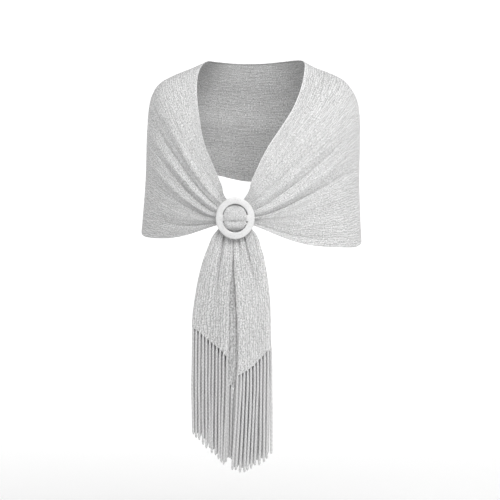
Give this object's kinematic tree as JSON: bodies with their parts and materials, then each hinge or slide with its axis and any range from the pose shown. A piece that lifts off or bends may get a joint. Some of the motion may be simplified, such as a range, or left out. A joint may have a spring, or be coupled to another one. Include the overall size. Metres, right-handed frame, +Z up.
{
  "type": "evening stole",
  "caption": "Crinkle-pleated stole worn round the shoulders, both fringed ends drawn through an oval ring slide at the bust.",
  "frame": {"origin": "on the wearer's middle plane between the shoulders, at the height where the cloth lies on them", "axes": "-Y is the wearer's front, +X the wearer's left, +Z up"},
  "size_m": [0.4397, 0.2788, 0.8079],
  "materials": {
    "cloth": "silver-grey satin with fine lengthwise crinkle pleats",
    "cord": "silver-grey twisted cords",
    "ring": "pearly white, polished"
  },
  "bodies": {
    "root": {"back_stretch": "cloth", "right_front": "cloth", "left_front": "cloth", "ring_gather": "cloth", "right_tail": "cloth", "left_tail": "cloth", "right_fringe": "cord", "left_fringe": "cord", "ring_slide": "ring"}
  },
  "joints": []
}
